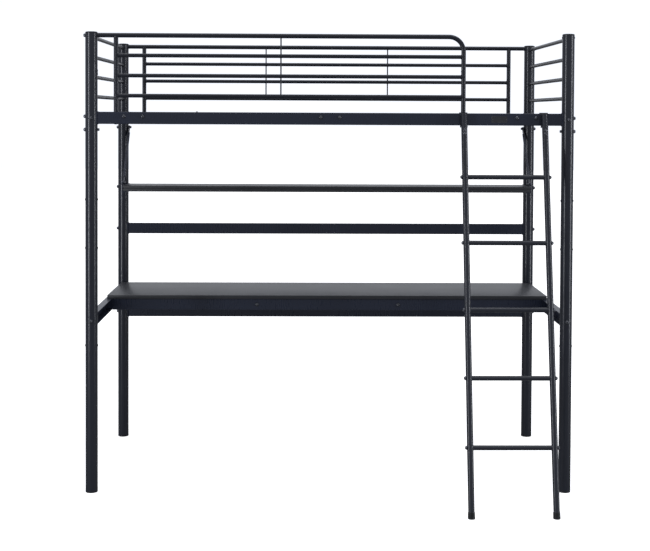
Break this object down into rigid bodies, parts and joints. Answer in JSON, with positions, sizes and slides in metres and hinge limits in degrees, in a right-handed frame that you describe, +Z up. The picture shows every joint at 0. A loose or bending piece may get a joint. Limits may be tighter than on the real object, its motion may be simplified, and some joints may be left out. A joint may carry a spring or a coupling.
{
  "type": "loft bed with desk",
  "caption": "Steel loft bed on round posts with rail guards, a slatted base, a hook-on ladder, and a desk and shelf underneath.",
  "frame": {"origin": "on the floor, under the middle of the overall box, ladder included", "axes": "+X along the bed's length towards the ladder end, +Y towards the rear (the wall side), +Z up"},
  "size_m": [2.015, 1.323, 1.89],
  "materials": {
    "post_steel": "black powder coat on round steel tube, satin gloss",
    "rail_steel": "blue-black powder coat on rectangular steel tube, satin gloss",
    "guard_steel": "black powder coat on thin round tube, satin gloss",
    "ladder_steel": "black powder coat on round steel tube, satin gloss, worn a little on the rungs",
    "base_steel": "black powder coat, satin",
    "blackened_bolts": "blackened steel, semi-gloss",
    "black_plastic": "moulded black plastic, matte",
    "laminated_board": "charcoal laminate on board, fine lengthwise streaks, satin",
    "plate": "blank dark plate with a pale border"
  },
  "bodies": {
    "bed_frame": {"back_bar": "rail_steel", "blank_plate": "plate", "cross_tie_bolts": "blackened_bolts", "cross_ties": "base_steel", "desk_bolts": "blackened_bolts", "desk_cross_bars": "rail_steel", "desk_end_channel_left": "rail_steel", "desk_end_channel_right": "rail_steel", "desk_rail_front": "rail_steel", "desk_rail_rear": "rail_steel", "desk_top": "laminated_board", "end_guard_rails_left": "guard_steel", "end_guard_rails_right": "guard_steel", "front_guard_hoop": "guard_steel", "front_guard_rails": "guard_steel", "guard_foot_bolts": "blackened_bolts", "guard_tie_rods": "guard_steel", "guard_uprights": "guard_steel", "hole_plugs": "black_plastic", "lower_post_front_left": "post_steel", "lower_post_front_right": "post_steel", "lower_post_rear_left": "post_steel", "lower_post_rear_right": "post_steel", "lower_rear_beam": "rail_steel", "platform_end_rail_left": "rail_steel", "platform_end_rail_right": "rail_steel", "post_bolts": "blackened_bolts", "post_feet": "black_plastic", "post_nuts": "blackened_bolts", "post_sleeves": "post_steel", "post_top_caps": "black_plastic", "rail_saddles": "rail_steel", "rear_guard_rails": "guard_steel", "rear_guard_top_rail": "guard_steel", "shelf_board": "laminated_board", "shelf_bolts": "blackened_bolts", "shelf_end_bracket_left": "rail_steel", "shelf_end_bracket_right": "rail_steel", "shelf_stays": "rail_steel", "side_rail_front": "rail_steel", "side_rail_rear": "rail_steel", "slat_end_caps": "black_plastic", "slat_ledges": "base_steel", "slats": "base_steel", "upper_post_front_left": "post_steel", "upper_post_front_right": "post_steel", "upper_post_rear_left": "post_steel", "upper_post_rear_right": "post_steel"},
    "ladder": {"ladder_bolts": "blackened_bolts", "ladder_boots": "black_plastic", "ladder_hooks": "ladder_steel", "ladder_rung_1": "ladder_steel", "ladder_rung_2": "ladder_steel", "ladder_rung_3": "ladder_steel", "ladder_rung_4": "ladder_steel", "ladder_rung_5": "ladder_steel", "ladder_stile_left": "ladder_steel", "ladder_stile_right": "ladder_steel", "ladder_top_plugs": "black_plastic"}
  },
  "joints": [
    {"name": "ladder_lift", "type": "slide", "parent": "bed_frame", "child": "ladder", "axis": [0, 0, 1], "range_m": [0, 0.04]}
  ]
}
